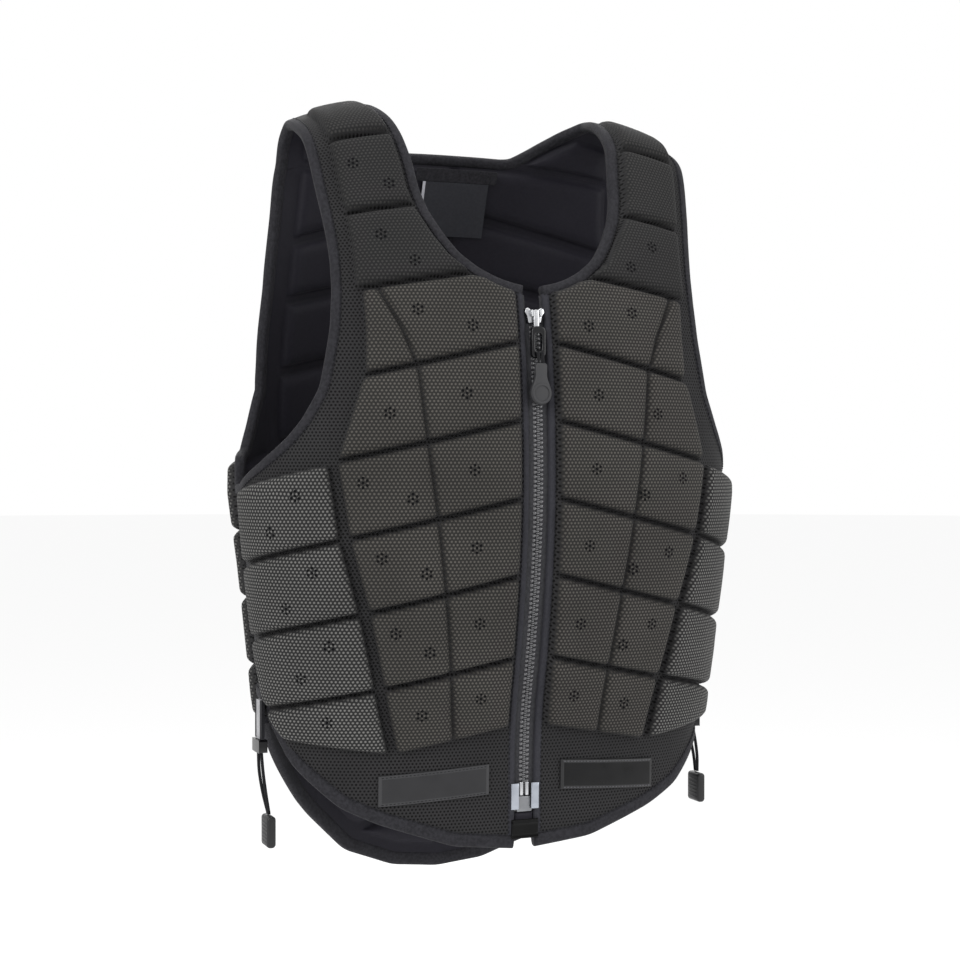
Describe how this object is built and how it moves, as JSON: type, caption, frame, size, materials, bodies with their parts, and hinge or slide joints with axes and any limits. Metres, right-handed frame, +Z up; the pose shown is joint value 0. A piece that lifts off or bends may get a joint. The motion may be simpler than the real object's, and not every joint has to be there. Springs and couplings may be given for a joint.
{
  "type": "equestrian body protector",
  "caption": "Sleeveless padded riding vest of hinged foam blocks under spacer mesh, with a front zip, bound edges and short side cords, held up as worn.",
  "frame": {"origin": "midway between the shoulders, level with the underside of the two straps where they rest", "axes": "+Z up, the wearer faces -Y, +X to the wearer's left"},
  "size_m": [0.3762, 0.2294, 0.5782],
  "materials": {
    "spacer_mesh": "matte charcoal knitted spacer mesh over foam",
    "binding_tape": "matte bluish black woven tape",
    "stretch_cloth": "matte black stretch cloth",
    "silver_metal": "bright nickel",
    "zip_plastic": "satin black moulded plastic",
    "dark_rubber": "matte dark grey rubber",
    "gloss_plastic": "glossy black",
    "pale_webbing": "pale grey woven tape",
    "label_cloth": "dark grey satin label cloth, bare",
    "cord_cloth": "black braided cord"
  },
  "bodies": {
    "vest": {"front_left_panel": "spacer_mesh", "front_right_panel": "spacer_mesh", "front_left_strap": "spacer_mesh", "front_right_strap": "spacer_mesh", "front_left_wing": "spacer_mesh", "front_right_wing": "spacer_mesh", "back_panel": "spacer_mesh", "back_left_strap": "spacer_mesh", "back_right_strap": "spacer_mesh", "back_left_wing": "spacer_mesh", "back_right_wing": "spacer_mesh", "left_gusset": "stretch_cloth", "right_gusset": "stretch_cloth", "left_armhole_binding": "binding_tape", "right_armhole_binding": "binding_tape", "neck_binding": "binding_tape", "front_left_hem_binding": "binding_tape", "front_right_hem_binding": "binding_tape", "back_hem_binding": "binding_tape", "zip_teeth_left": "zip_plastic", "zip_teeth_right": "zip_plastic", "zip_tape_left": "binding_tape", "zip_tape_right": "binding_tape", "zip_slider": "silver_metal", "zip_box": "silver_metal", "zip_stop_plate_left": "silver_metal", "zip_stop_plate_right": "silver_metal", "hem_tab": "stretch_cloth", "hem_strip": "gloss_plastic", "left_patch": "gloss_plastic", "right_patch": "dark_rubber", "neck_label": "label_cloth", "neck_tape": "binding_tape", "left_tab": "pale_webbing", "right_tab": "pale_webbing", "left_cord_guide": "gloss_plastic", "right_cord_guide": "gloss_plastic", "left_cord_front": "cord_cloth", "left_cord_back": "cord_cloth", "right_cord_front": "cord_cloth", "right_cord_back": "cord_cloth", "left_cord_pull": "dark_rubber", "right_cord_pull": "dark_rubber"},
    "zip_pull": {"zip_puller": "silver_metal", "zip_link": "gloss_plastic", "zip_tag": "dark_rubber"}
  },
  "joints": [
    {"name": "zip_pull_hinge", "type": "hinge", "parent": "vest", "child": "zip_pull", "pos_m": [0, -0.1018, -0.1411], "axis": [-1, 0, 0], "range_deg": [0, 120]}
  ]
}
